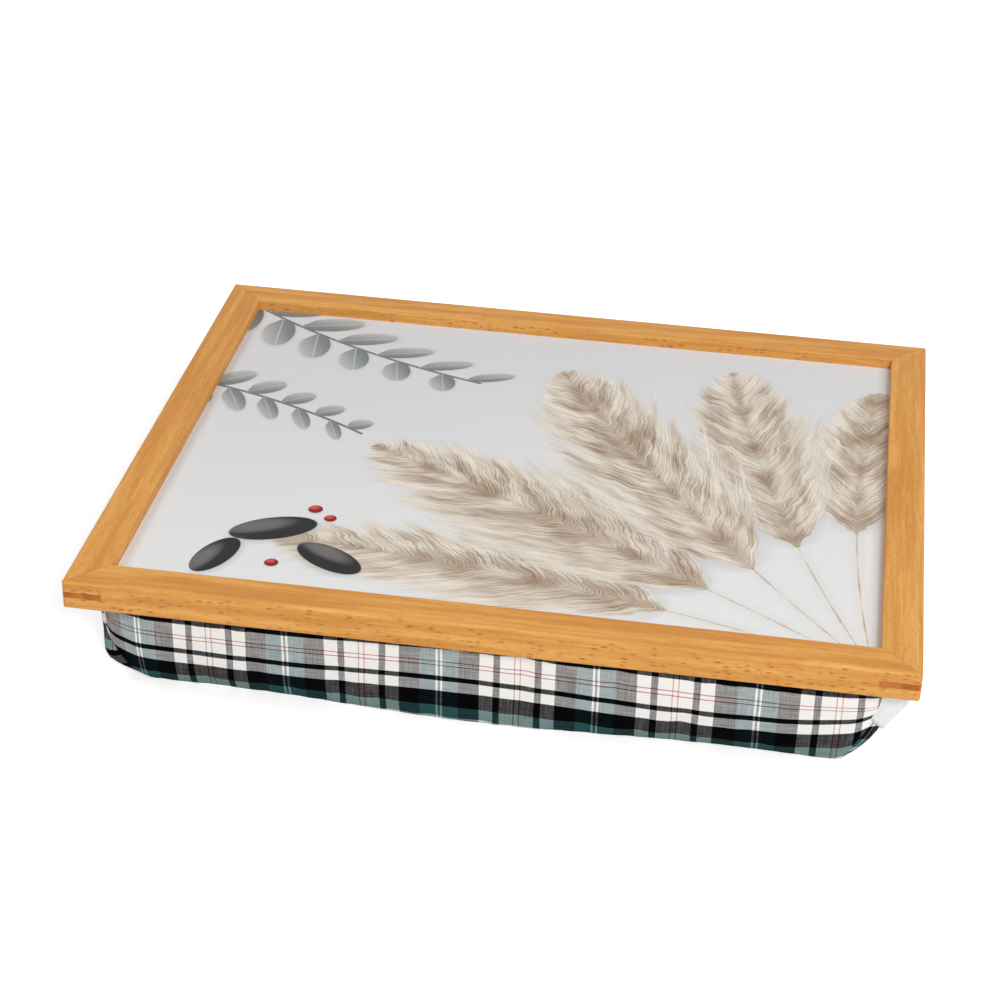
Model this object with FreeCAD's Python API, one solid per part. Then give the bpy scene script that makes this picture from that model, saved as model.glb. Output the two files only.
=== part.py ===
"""Lap tray with cushion: a keyed beech frame round a printed board, on a tartan cushion filled with beads.

Millimetres. The origin is at the middle of the cushion's base, on the surface it lies on.
+X runs along the tray to the right, -Y is the front, +Z is up.
"""
import FreeCAD, Part
import math
import os

from FreeCAD import Vector

# Frame: four mitred rails, rebated from below for the board
TRAY_LENGTH = 440.0
TRAY_DEPTH = 362.0
RAIL_WIDTH = 21.0
RIM_HEIGHT = 6.5
REBATE_WIDTH = 7.0
OUTER_ARRIS = 1.8
INNER_ARRIS = 1.0
CORNER_ROUND = 2.4

# Keys let into the mitres from outside
KEY_THICKNESS = 3.3
KEY_BELOW_TOP = 6.3
KEY_WOOD_LEFT = 5.0

# Board, from the printed face down
LAMINATE_THICKNESS = 0.8
CORE_THICKNESS = 5.5
BACKING_THICKNESS = 0.5
BOARD_CLEARANCE = 0.3

# Panel pins driven level into the rebate, under the board
PIN_DIAMETER = 1.2
PIN_IN_WOOD = 8.0
PIN_OUT = 5.5
PINS_ON_LONG_RAIL = 4
PINS_ON_SHORT_RAIL = 3

# Hook and loop tapes between the board and the cushion
TAPE_WIDTH = 20.0
TAPE_INSET = 12.0
TAPE_CORNER_GAP = 15.0
TAPE_END_ROUND = 4.0
HOOK_THICKNESS = 1.5
LOOP_THICKNESS = 1.8
TAPE_GAP = 0.2

# Cushion: upright bowed walls, set in under the frame's edge
CUSHION_HEIGHT = 53.2
CUSHION_SIDE_INSET = 13.0
CUSHION_END_INSET = 11.0
WALL_BOW = 2.5
TOP_CORNER = 9.0
BASE_CORNER = 5.0
CLOTH_THICKNESS = 1.0
SOFT_CLEARANCE = 0.3
CUSHION_STEPS = 12

# Foot of each wall: how far its base is drawn in, how high the slope rises, and its curve (1 is straight,
# more is rounder); the bead filling leaves the left end lower and sharper than the right one
SIDE_DRAWN_IN = 3.7
SIDE_SLOPE_HEIGHT = 28.0
SIDE_CURVE = 2.4
LEFT_DRAWN_IN = 24.0
LEFT_SLOPE_HEIGHT = 12.0
LEFT_CURVE = 1.1
RIGHT_DRAWN_IN = 21.0
RIGHT_SLOPE_HEIGHT = 32.0
RIGHT_CURVE = 2.1

# Woven tab, folded double and sewn into the right front corner seam; the foot is the low end of its fold
LABEL_WIDTH = 22.0
LABEL_FOLDED = 18.0
LABEL_THICKNESS = 0.8
LABEL_TILT = 35.0
LABEL_FOOT_BELOW_TOP = 30.2
LABEL_FOOT_INSET = 4.5
LABEL_FROM_FRONT = 5.0

# Levels and outlines that follow from the values above
TAPE_STACK = HOOK_THICKNESS + TAPE_GAP + LOOP_THICKNESS
BOARD_STACK = LAMINATE_THICKNESS + CORE_THICKNESS + BACKING_THICKNESS
RAIL_BOTTOM = CUSHION_HEIGHT + SOFT_CLEARANCE
LABEL_FOOT_HEIGHT = CUSHION_HEIGHT - LABEL_FOOT_BELOW_TOP
BOARD_UNDERSIDE = CUSHION_HEIGHT + TAPE_STACK
BOARD_FACE = BOARD_UNDERSIDE + BOARD_STACK
RAIL_TOP = BOARD_FACE + RIM_HEIGHT
RAIL_HEIGHT = RAIL_TOP - RAIL_BOTTOM
LAND = RAIL_WIDTH - REBATE_WIDTH
HALF_LENGTH = TRAY_LENGTH / 2
HALF_DEPTH = TRAY_DEPTH / 2
CUSHION_HALF_LENGTH = HALF_LENGTH - CUSHION_END_INSET
CUSHION_HALF_DEPTH = HALF_DEPTH - CUSHION_SIDE_INSET
CUT_MARGIN = 2.0
UP = Vector(0, 0, 1)


def prism(points, bottom, top):
    """A straight prism over a plan outline of (x, y) points."""
    corners = [Vector(x, y, bottom) for x, y in points]
    face = Part.Face(Part.makePolygon(corners + corners[:1]))
    return face.extrude(UP * (top - bottom))


def plate(length, depth, bottom, thickness):
    """A flat rectangular sheet centred on the Z axis."""
    return Part.makeBox(length, depth, thickness, Vector(-length / 2, -depth / 2, bottom))


def turned(shape, degrees):
    """The shape turned about the Z axis."""
    result = shape.copy()
    result.rotate(Vector(0, 0, 0), UP, degrees)
    return result


def corner_arc(start, end, centre):
    """The short arc from start to end about centre."""
    middle = (start + end) * 0.5 - centre
    radius = (start - centre).Length
    return Part.Arc(start, centre + middle.normalize() * radius, end).toShape()


def rail_section(x, outer_y):
    """The rail's section at x: arrises rounded, the rebate open to the inside and below."""

    def at(inward, height):
        return Vector(x, outer_y + inward, RAIL_BOTTOM + height)

    big, small = OUTER_ARRIS, INNER_ARRIS
    shoulder = RAIL_HEIGHT - RIM_HEIGHT
    edges = [
        corner_arc(at(big, 0), at(0, big), at(big, big)),
        Part.makeLine(at(0, big), at(0, RAIL_HEIGHT - big)),
        corner_arc(at(0, RAIL_HEIGHT - big), at(big, RAIL_HEIGHT), at(big, RAIL_HEIGHT - big)),
        Part.makeLine(at(big, RAIL_HEIGHT), at(RAIL_WIDTH - small, RAIL_HEIGHT)),
        corner_arc(
            at(RAIL_WIDTH - small, RAIL_HEIGHT),
            at(RAIL_WIDTH, RAIL_HEIGHT - small),
            at(RAIL_WIDTH - small, RAIL_HEIGHT - small),
        ),
        Part.makeLine(at(RAIL_WIDTH, RAIL_HEIGHT - small), at(RAIL_WIDTH, shoulder)),
        Part.makeLine(at(RAIL_WIDTH, shoulder), at(LAND, shoulder)),
        Part.makeLine(at(LAND, shoulder), at(LAND, 0)),
        Part.makeLine(at(LAND, 0), at(big, 0)),
    ]
    return Part.Face(Part.Wire(edges))


def mitre_waste(end_x, outer_y):
    """The wedge sawn off one end of a rail; end_x is negative on the left end."""
    side = math.copysign(1, end_x)
    reach = RAIL_WIDTH + CUT_MARGIN
    outline = [
        (end_x + side * CUT_MARGIN, outer_y - CUT_MARGIN),
        (end_x + side * CUT_MARGIN, outer_y + reach),
        (end_x - side * reach, outer_y + reach),
    ]
    return prism(outline, RAIL_BOTTOM - CUT_MARGIN, RAIL_TOP + CUT_MARGIN)


def corner_key(side_x, side_y):
    """The flat triangular key at one corner, before the corner is rounded."""
    leg = (LAND * math.sqrt(2) - KEY_WOOD_LEFT) * math.sqrt(2)
    x, y = side_x * HALF_LENGTH, side_y * HALF_DEPTH
    outline = [(x, y), (x - side_x * leg, y), (x, y - side_y * leg)]
    top = RAIL_TOP - KEY_BELOW_TOP
    return prism(outline, top - KEY_THICKNESS, top)


def corner_waste(side_x, side_y):
    """What is sanded off a vertical corner of the frame to round it."""
    x, y = side_x * HALF_LENGTH, side_y * HALF_DEPTH
    centre_x, centre_y = x - side_x * CORNER_ROUND, y - side_y * CORNER_ROUND
    far_x, far_y = x + side_x * CUT_MARGIN, y + side_y * CUT_MARGIN
    outline = [(centre_x, centre_y), (far_x, centre_y), (far_x, far_y), (centre_x, far_y)]
    bottom = RAIL_BOTTOM - CUT_MARGIN
    height = RAIL_HEIGHT + 2 * CUT_MARGIN
    rounding = Part.makeCylinder(CORNER_ROUND, height, Vector(centre_x, centre_y, bottom))
    return prism(outline, bottom, bottom + height).cut(rounding)


def rail_pins(length, outer_y, count):
    """The panel pins of the rail along the front, evenly spaced along the board's edge."""
    level = BOARD_UNDERSIDE - PIN_DIAMETER / 2
    spacing = (length - 2 * RAIL_WIDTH) / count
    pins = []
    for index in range(count):
        x = spacing * (index - (count - 1) / 2)
        start = Vector(x, outer_y + LAND - PIN_IN_WOOD, level)
        pins.append(Part.makeCylinder(PIN_DIAMETER / 2, PIN_IN_WOOD + PIN_OUT, start, Vector(0, 1, 0)))
    return pins


def rail(length, outer_y):
    """A rail along the front with its two mitres sawn, before the key slots and pins."""
    blank = rail_section(-length / 2, outer_y).extrude(Vector(length, 0, 0))
    return blank.cut(mitre_waste(-length / 2, outer_y)).cut(mitre_waste(length / 2, outer_y))


def frame_parts():
    """The four rails, the keys in their corners and the panel pins."""
    sides = [(x, y) for y in (-1, 1) for x in (-1, 1)]
    keys = [corner_key(x, y) for x, y in sides]
    wastes = Part.makeCompound([corner_waste(x, y) for x, y in sides])
    slots = Part.makeCompound(keys)
    long_rail = (TRAY_LENGTH, -HALF_DEPTH, PINS_ON_LONG_RAIL)
    short_rail = (TRAY_DEPTH, -HALF_LENGTH, PINS_ON_SHORT_RAIL)
    places = {
        "front_rail": (long_rail, 0),
        "right_rail": (short_rail, 90),
        "back_rail": (long_rail, 180),
        "left_rail": (short_rail, 270),
    }
    parts = {}
    all_pins = []
    for name, ((length, outer_y, count), degrees) in places.items():
        pins = [turned(pin, degrees) for pin in rail_pins(length, outer_y, count)]
        bare = turned(rail(length, outer_y), degrees)
        parts[name] = bare.cut(slots).cut(wastes).cut(Part.makeCompound(pins))
        all_pins += pins
    for (x, y), key in zip(sides, keys):
        depth_word = "front" if y < 0 else "back"
        length_word = "left" if x < 0 else "right"
        parts[f"{depth_word}_{length_word}_key"] = key.cut(wastes)
    parts["panel_pins"] = Part.makeCompound(all_pins)
    return parts


def board_parts():
    """The board in the rebate: printed laminate, core and backing sheet, all cut to one size."""
    length = TRAY_LENGTH - 2 * (LAND + BOARD_CLEARANCE)
    depth = TRAY_DEPTH - 2 * (LAND + BOARD_CLEARANCE)
    core_bottom = BOARD_UNDERSIDE + BACKING_THICKNESS
    return {
        "backing_sheet": plate(length, depth, BOARD_UNDERSIDE, BACKING_THICKNESS),
        "board_core": plate(length, depth, core_bottom, CORE_THICKNESS),
        "printed_laminate": plate(length, depth, core_bottom + CORE_THICKNESS, LAMINATE_THICKNESS),
    }


def tape(length, bottom, thickness):
    """A strip of tape along X with rounded corners."""
    strip = plate(length, TAPE_WIDTH, bottom, thickness)
    upright = [edge for edge in strip.Edges if abs(edge.tangentAt(0).z) > 0.5]
    return strip.makeFillet(TAPE_END_ROUND, upright)


def tape_parts():
    """Four hook tapes under the board, and the loop tapes sewn to the cushion below them."""
    opening_x = HALF_LENGTH - RAIL_WIDTH - TAPE_INSET
    opening_y = HALF_DEPTH - RAIL_WIDTH - TAPE_INSET
    along_x = 2 * (opening_x - TAPE_WIDTH - TAPE_CORNER_GAP)
    along_y = 2 * (opening_y - TAPE_WIDTH - TAPE_CORNER_GAP)
    to_long = opening_y - TAPE_WIDTH / 2
    to_short = opening_x - TAPE_WIDTH / 2
    places = {
        "front": (along_x, to_long, 0),
        "right": (along_y, to_short, 90),
        "back": (along_x, to_long, 180),
        "left": (along_y, to_short, 270),
    }
    layers = {
        "hook": (BOARD_UNDERSIDE - HOOK_THICKNESS, HOOK_THICKNESS),
        "loop": (CUSHION_HEIGHT, LOOP_THICKNESS),
    }
    parts = {}
    for side, (length, distance, degrees) in places.items():
        for layer, (bottom, thickness) in layers.items():
            strip = tape(length, bottom, thickness)
            strip.translate(Vector(0, -distance, 0))
            parts[f"{side}_{layer}_tape"] = turned(strip, degrees)
    return parts


def bowed_outline(left, right, half_depth, corner, level):
    """A rounded rectangle with bowed sides at one level; left and right are its two half lengths."""
    near_left, near_right, flat = corner - left, right - corner, half_depth - corner
    middle = (right - left) / 2
    sides = [
        ((near_left, -half_depth), (middle, -half_depth - WALL_BOW), (near_right, -half_depth)),
        ((right, -flat), (right + WALL_BOW, 0), (right, flat)),
        ((near_right, half_depth), (middle, half_depth + WALL_BOW), (near_left, half_depth)),
        ((-left, flat), (-left - WALL_BOW, 0), (-left, -flat)),
    ]
    centres = [(near_right, -flat), (near_right, flat), (near_left, flat), (near_left, -flat)]
    edges = []
    for side, following, centre in zip(sides, sides[1:] + sides[:1], centres):
        start, crest, end = [Vector(x, y, level) for x, y in side]
        edges.append(Part.Arc(start, crest, end).toShape())
        edges.append(corner_arc(end, Vector(*following[0], level), Vector(*centre, level)))
    return Part.Wire(edges)


def drawn_in(rise, base_drawn_in, slope_height, curve):
    """How far a wall is drawn in at a rise above the base."""
    return base_drawn_in * max(1 - rise / slope_height, 0) ** curve


def cushion_form(inset, bottom, top):
    """The cushion's outer form less an inset, between two levels; the outlines crowd towards the base."""
    half_length = CUSHION_HALF_LENGTH - WALL_BOW - inset
    half_depth = CUSHION_HALF_DEPTH - WALL_BOW - inset
    outlines = []
    for step in range(CUSHION_STEPS + 1):
        share = (step / CUSHION_STEPS) ** 2
        rise = (top - bottom) * share
        left = half_length - drawn_in(rise, LEFT_DRAWN_IN, LEFT_SLOPE_HEIGHT, LEFT_CURVE)
        right = half_length - drawn_in(rise, RIGHT_DRAWN_IN, RIGHT_SLOPE_HEIGHT, RIGHT_CURVE)
        deep = half_depth - drawn_in(rise, SIDE_DRAWN_IN, SIDE_SLOPE_HEIGHT, SIDE_CURVE)
        corner = BASE_CORNER + (TOP_CORNER - BASE_CORNER) * share - inset
        outlines.append(bowed_outline(left, right, deep, corner, bottom + rise))
    return Part.makeLoft(outlines, True, True)


def cushion_parts():
    """The sewn cover, the panel that closes its top, and the bead filling."""
    cover_top = CUSHION_HEIGHT - CLOTH_THICKNESS
    outer = cushion_form(0, 0, cover_top)
    hollow = cushion_form(CLOTH_THICKNESS, CLOTH_THICKNESS, cover_top)
    fill_inset = CLOTH_THICKNESS + SOFT_CLEARANCE
    filling = cushion_form(fill_inset, fill_inset, cover_top - SOFT_CLEARANCE)
    rim = Part.Face(max(outer.Faces, key=lambda face: face.CenterOfMass.z).OuterWire)
    return {
        "cushion_cover": outer.cut(hollow),
        "cushion_top_panel": rim.extrude(UP * CLOTH_THICKNESS),
        "bead_filling": filling,
        "seam_label": seam_label(outer),
    }


def seam_label(cushion):
    """The tab at the right front corner: it hangs down at a tilt and is trimmed to the cushion's form."""
    tab = Part.makeBox(LABEL_FOLDED, LABEL_THICKNESS, LABEL_WIDTH, Vector(-LABEL_FOLDED, 0, 0))
    tab.rotate(Vector(0, 0, 0), Vector(0, 1, 0), LABEL_TILT)
    foot_x = CUSHION_HALF_LENGTH - LABEL_FOOT_INSET
    tab.translate(Vector(foot_x, LABEL_FROM_FRONT - CUSHION_HALF_DEPTH, LABEL_FOOT_HEIGHT))
    return tab.cut(cushion)


def main():
    parts = frame_parts()
    parts.update(board_parts())
    parts.update(tape_parts())
    parts.update(cushion_parts())
    os.makedirs("parts", exist_ok=True)
    for name, shape in parts.items():
        if len(shape.Solids) == 1:
            shape = shape.Solids[0]
        shape.exportStep(f"parts/{name}.step")
        box = shape.BoundBox
        size = f"{box.XLength:.1f} by {box.YLength:.1f} by {box.ZLength:.1f} mm"
        print(f"{name}: {len(shape.Solids)} solids, valid {shape.isValid()}, {size}")


main()
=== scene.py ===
# %% [markdown]
# # A lap tray on a tartan cushion
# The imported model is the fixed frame: every rail, key and tape is already at its real place, in metres.
# This lesson gives those pieces their finishes, and makes the soft cushion that a solid can only block out.

# %% Load the frame
import math
import bmesh
import bpy
from collections import namedtuple
from mathutils import Matrix, Vector


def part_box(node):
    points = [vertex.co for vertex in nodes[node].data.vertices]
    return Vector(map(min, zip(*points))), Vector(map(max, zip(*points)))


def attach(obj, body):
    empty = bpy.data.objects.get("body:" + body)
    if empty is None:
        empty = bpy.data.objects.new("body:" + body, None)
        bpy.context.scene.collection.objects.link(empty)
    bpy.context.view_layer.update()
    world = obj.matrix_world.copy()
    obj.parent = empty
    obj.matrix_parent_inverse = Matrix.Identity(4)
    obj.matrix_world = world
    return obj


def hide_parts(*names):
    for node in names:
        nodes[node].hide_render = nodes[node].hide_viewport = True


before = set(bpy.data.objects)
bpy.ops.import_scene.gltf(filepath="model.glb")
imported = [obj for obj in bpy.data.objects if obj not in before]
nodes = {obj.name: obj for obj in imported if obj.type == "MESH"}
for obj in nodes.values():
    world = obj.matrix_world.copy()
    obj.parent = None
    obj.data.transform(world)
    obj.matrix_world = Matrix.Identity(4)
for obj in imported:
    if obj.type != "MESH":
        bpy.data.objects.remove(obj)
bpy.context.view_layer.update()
scene = bpy.context.scene
scene.view_settings.view_transform = "Standard"
MM = 0.001
PER_METRE = 1000
print("pieces in the frame:", len(nodes))

# %% [markdown]
# ## Shader arithmetic
# A procedural finish is a formula. Nodes can be wired one at a time, but that is hard to read again,
# so a small class wraps a socket and lets Python's own operators add the Math nodes.
# A second class makes one material, and any other node comes from its one method for that.


# %% Sockets that can be added and multiplied
class Signal:
    """One output socket that takes part in arithmetic."""

    def __init__(self, finish, socket):
        self.finish = finish
        self.socket = socket

    def __add__(self, other):
        return self.finish.math("ADD", self, other)

    def __radd__(self, other):
        return self.finish.math("ADD", other, self)

    def __sub__(self, other):
        return self.finish.math("SUBTRACT", self, other)

    def __rsub__(self, other):
        return self.finish.math("SUBTRACT", other, self)

    def __mul__(self, other):
        return self.finish.math("MULTIPLY", self, other)

    def __rmul__(self, other):
        return self.finish.math("MULTIPLY", other, self)

    def __truediv__(self, other):
        return self.finish.math("DIVIDE", self, other)

    def __rtruediv__(self, other):
        return self.finish.math("DIVIDE", other, self)

    def __pow__(self, other):
        return self.finish.math("POWER", self, other)

    def __mod__(self, other):
        return self.finish.math("FLOORED_MODULO", self, other)

    def __abs__(self):
        return self.finish.math("ABSOLUTE", self)

    def __lt__(self, other):
        return self.finish.math("LESS_THAN", self, other)

    def __gt__(self, other):
        return self.finish.math("GREATER_THAN", self, other)


print("socket arithmetic ready")


# %% Finishes built node by node
class Finish:
    """One material, or the world's light, built node by node."""

    def __init__(self, name, kind=bpy.data.materials):
        self.made = kind.new(name)
        self.made.use_nodes = True
        self.tree = self.made.node_tree
        self.tree.nodes.clear()

    def node(self, kind, settings=None, inputs=None, output=0):
        """Adds a node: its settings first, then the values or links of its sockets."""
        made = self.tree.nodes.new(kind)
        for name, value in (settings or {}).items():
            setattr(made, name, value)
        for key, value in (inputs or {}).items():
            if isinstance(value, Signal):
                self.tree.links.new(value.socket, made.inputs[key])
            else:
                made.inputs[key].default_value = value
        return Signal(self, made.outputs[output]) if made.outputs else None

    def math(self, operation, *values):
        return self.node("ShaderNodeMath", {"operation": operation}, dict(enumerate(values)))

    def least(self, first, second):
        return self.math("MINIMUM", first, second)

    def most(self, first, second):
        return self.math("MAXIMUM", first, second)

    def sine(self, value):
        return self.math("SINE", value)

    def checks(self, first, second, size):
        """Bumps and hollows like the squares of a chessboard, each of one size."""
        turn = math.pi / size
        return self.sine(first * turn) * self.sine(second * turn)

    def step(self, value, low, high):
        """0 below low, 1 above high, and an easy curve between."""
        inputs = {"Value": value, "From Min": low, "From Max": high}
        return self.node("ShaderNodeMapRange", {"interpolation_type": "SMOOTHSTEP"}, inputs)

    def mix(self, share, first, second):
        """A colour between two colours."""
        colours = [value if isinstance(value, Signal) else (*value, 1.0) for value in (first, second)]
        inputs = {0: share, 6: colours[0], 7: colours[1]}
        return self.node("ShaderNodeMix", {"data_type": "RGBA"}, inputs, 2)

    def vector(self, x, y, z):
        return self.node("ShaderNodeCombineXYZ", None, {0: x, 1: y, 2: z})

    def split(self, vector):
        """The three parts of a vector."""
        first = self.node("ShaderNodeSeparateXYZ", None, {0: vector})
        return [Signal(self, socket) for socket in first.socket.node.outputs]

    def position(self):
        """Object coordinates in millimetres."""
        place = self.node("ShaderNodeTexCoord", None, None, "Object")
        return [part * PER_METRE for part in self.split(place)]

    def threads(self):
        """How far across and along its flat cloth a place is, in millimetres."""
        across, along, _ = self.split(self.node("ShaderNodeUVMap", {"uv_map": "threads"}))
        return across * PER_METRE, along * PER_METRE

    def noise(self, vector, detail=2.0, roughness=0.5):
        inputs = {"Vector": vector, "Scale": 1.0, "Detail": detail, "Roughness": roughness}
        return self.node("ShaderNodeTexNoise", None, inputs)

    def cells(self, vector, output="Distance"):
        return self.node("ShaderNodeTexVoronoi", None, {"Vector": vector, "Scale": 1.0}, output)

    def bands(self, value, stops):
        """A ramp of flat colours: each stop is (start, colour), starts running from 0 to 1."""
        result = self.node("ShaderNodeValToRGB", None, {0: value})
        ramp = result.socket.node.color_ramp
        ramp.interpolation = "CONSTANT"
        while len(ramp.elements) < len(stops):
            ramp.elements.new(1.0)
        for element, (start, colour) in zip(ramp.elements, stops):
            element.position = start
            element.color = (*colour, 1.0)
        return result

    def bump(self, height, distance, strength=1.0):
        """A normal from a height in millimetres."""
        inputs = {"Height": height, "Distance": distance * MM, "Strength": strength}
        return self.node("ShaderNodeBump", None, inputs)

    def shade(self, inputs):
        """The surface: a Principled shader and the material's output."""
        surface = self.node("ShaderNodeBsdfPrincipled", None, inputs)
        self.node("ShaderNodeOutputMaterial", None, {"Surface": surface})
        return self.made


print("finish nodes ready")


# %% Colours and materials
def srgb(red, green, blue):
    """A colour as a screen shows it, 0 to 255, in the linear numbers that a shader takes."""
    parts = [value / 255 for value in (red, green, blue)]
    return tuple(p / 12.92 if p <= 0.04045 else ((p + 0.055) / 1.055) ** 2.4 for p in parts)


def wear(piece, material):
    """Gives a piece one material."""
    piece.data.materials.clear()
    piece.data.materials.append(material)


print("a middle grey, 128 on a screen, is", round(srgb(128, 128, 128)[0], 3), "in a shader")

# %% [markdown]
# ## Beech
# The frame is oiled beech: long faint streaks, a fine grain, and the short dark flecks that mark beech out.
# An image of wood would not meet at the mitres, so the grain is noise stretched along each rail's own length.
# The glue line of the mitre is drawn where the two rails meet.

# %% The frame's own sizes
front_low, front_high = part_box("front_rail")
left_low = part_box("left_rail")[0]
HALF_LENGTH = -left_low.x / MM
HALF_DEPTH = -front_low.y / MM
RAIL_TOP = front_high.z / MM
RAIL_WIDTH = (front_high.y - front_low.y) / MM
print(f"frame {2 * HALF_LENGTH:.0f} by {2 * HALF_DEPTH:.0f} mm, rails {RAIL_WIDTH:.0f} mm wide")


# %% Beech finish
FLECK_LONG = 5.2
FLECK_WIDE = 1.5
# How strongly painted shade deepens the dark streaks on the tops of the front and back rails.
TOP_SHADED_STREAKS = 0.3
RAIL_APART = 731.0


def beech(name, along_x, seed, top_shaded_streaks):
    """Beech with its grain along one rail. The seed is the place on the plank that the rail was sawn from."""
    finish = Finish(name)
    x, y, z = finish.position()
    run, across = (x, y) if along_x else (y, x)
    run = run + seed
    wander = finish.noise(finish.vector(run * 0.012, across * 0.03, z * 0.03)) * 7
    across = across + wander
    height = z + wander
    on_top = finish.step(z, RAIL_TOP - 1.6, RAIL_TOP - 0.5)
    streaks = finish.noise(finish.vector(run * 0.007, across * 0.17, height * 0.2), 4, 0.6)
    figure = finish.noise(finish.vector(run * 0.035, across * 0.3, height * 0.3))
    grain = finish.noise(finish.vector(run * 0.05, across * 1.8, height * 1.8), 3, 0.65)
    rays = finish.noise(finish.vector(run * 0.22, across * 2.6, height * 2.6))
    fleck_place = finish.vector(run / FLECK_LONG, across / FLECK_WIDE, height / FLECK_WIDE)
    fleck = 1 - finish.step(finish.cells(fleck_place), 0.12, 0.5)
    fleck_kind = finish.split(finish.cells(fleck_place, "Color"))[0]
    crowd = finish.noise(finish.vector(run * 0.012, across * 0.02, height * 0.02), 1, 0.5)
    flecks = fleck * finish.step(fleck_kind, 0.3, 0.85) * finish.step(crowd, 0.08, 0.42) * (1 - on_top * 0.75)
    colour = finish.mix(finish.step(streaks, 0.32, 0.68), srgb(212, 145, 68), srgb(238, 178, 96))
    # Painted shade: the dark streaks are deepened on the top faces of the front and back rails, so those tops
    # read darker.
    colour = finish.mix(on_top * finish.step(streaks, 0.6, 0.35) * top_shaded_streaks, colour, srgb(204, 132, 64))
    colour = finish.mix(finish.step(figure, 0.4, 0.75) * 0.3, colour, srgb(203, 132, 58))
    colour = finish.mix(finish.step(grain, 0.38, 0.72) * 0.45, colour, srgb(196, 126, 56))
    colour = finish.mix(finish.step(rays, 0.56, 0.74) * 0.35, colour, srgb(186, 114, 46))
    colour = finish.mix(flecks * 0.9, colour, srgb(170, 98, 36))
    from_mitre = abs((HALF_LENGTH - abs(x)) - (HALF_DEPTH - abs(y)))
    glue_line = 1 - finish.step(from_mitre, 0.1, 0.6)
    colour = finish.mix(glue_line * 0.2, colour, srgb(138, 84, 40))
    return finish.shade({
        "Base Color": colour,
        "Roughness": 0.44 + grain * 0.14,
        "Normal": finish.bump(grain * 0.05 - flecks * 0.05, 1.0, 0.6),
        "Specular IOR Level": 0.22,
    })


for index, name in enumerate(("front_rail", "back_rail", "left_rail", "right_rail")):
    lengthwise = index < 2
    top_shaded_streaks = TOP_SHADED_STREAKS if lengthwise else 0.0
    wear(nodes[name], beech(f"beech_{name}", lengthwise, RAIL_APART * index, top_shaded_streaks))
print("rails finished")


# %% [markdown]
# ## Corner keys
# A thin key of redder wood is glued into a saw cut across each mitre, and its grain shows as fine lines
# along the cut. Each line could be drawn, but noise that is pressed flat in height gives them all,
# and it differs from corner to corner, so one finish serves the four keys.

# %% Key finish
def key_wood():
    """Redder wood with lines along it, dark pores and a painted shadow line along its upper edge."""
    finish = Finish("key_wood")
    x, y, z = finish.position()
    low, high = [corner.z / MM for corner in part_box("front_left_key")]
    lines = finish.noise(finish.vector(x * 0.25, y * 0.25, z * 2.6), 3, 0.6)
    pores = finish.noise(finish.vector(x * 2.4, y * 2.4, z * 2.4))
    pale = finish.noise(finish.vector(x * 0.12, y * 0.12, 5.0), 1, 0.5)
    # Painted shadow: a thin dark line along the key's upper edge stands in for the shade of the gap above it.
    gap_shadow = 1 - finish.step(finish.least(z - low, high - z), 0.1, 0.7)
    colour = finish.mix(finish.step(lines, 0.3, 0.7), srgb(166, 82, 24), srgb(198, 108, 42))
    colour = finish.mix(finish.step(pale, 0.45, 0.65) * 0.5, colour, srgb(212, 134, 62))
    colour = finish.mix(finish.step(pores, 0.55, 0.75) * 0.5, colour, srgb(128, 60, 18))
    colour = finish.mix(gap_shadow * finish.step(z, low, high) * 0.7, colour, srgb(118, 56, 18))
    return finish.shade({
        "Base Color": colour,
        "Roughness": 0.45 + lines * 0.1,
        "Normal": finish.bump(pores * 0.05, 1.0, 0.5),
        "Specular IOR Level": 0.22,
    })


key_material = key_wood()
for depth_word in ("front", "back"):
    for length_word in ("left", "right"):
        wear(nodes[f"{depth_word}_{length_word}_key"], key_material)
print("keys finished")

# %% [markdown]
# ## The cushion's form
# The cushion is a bag of beads: a strip of tartan runs down the front, under the base and up the back,
# and a gusset is sewn into each end. A lofted solid gives its bulk but not its seams,
# so a block is cut into a grid whose edges follow the cloth, and every point is then carried to its place.
# The left end is drawn up off the table in a long soft slope, the right one in a steeper, fuller one.

# %% Cushion sizes
END_FIELDS = "half_long tuck tuck_height tuck_power seam_base seam_lean seam_power gusset_shift gusset_drop"
End = namedtuple("End", END_FIELDS)
cover_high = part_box("cushion_cover")[1] / MM
CUSHION_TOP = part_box("cushion_top_panel")[1].z / MM
SIDE_BOW = 2.5
END_BOW = 0.5
SWELL = 1.5
HALF_DEEP = cover_high.y - SIDE_BOW - SWELL
WIDEST = 28.0
WIDEST_SHARE = 0.45
TOP_FLARE = 2.0
SIDE_TUCK = 2.2
BASE_CORNER = 5.0
TOP_CORNER = 9.0
CORNER_LEVEL = 20.0
SEAM_LEVEL = 40.0
ENDS = {
    -1: End(cover_high.x - 1.5, 23.0, 12.0, 1.1, 184.5, 26.0, 0.82, -60.5, 17.5),
    1: End(cover_high.x - 2.5, 19.0, 32.0, 2.1, 186.0, 21.0, 1.0, -24.2, 7.5),
}
ROWS = 12
BLOCK_STEPS = (84, 68, ROWS)
print(f"cushion {2 * cover_high.x:.0f} by {2 * cover_high.y:.0f} by {CUSHION_TOP:.1f} mm")

# %% Levels of the wall
Level = namedtuple("Level", "height tucked half_long half_deep corner seam")


def eased(value, low, high):
    """0 at low, 1 at high, and an easy curve between."""
    share = min(max((value - low) / (high - low), 0.0), 1.0)
    return share * share * (3 - 2 * share)


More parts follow.
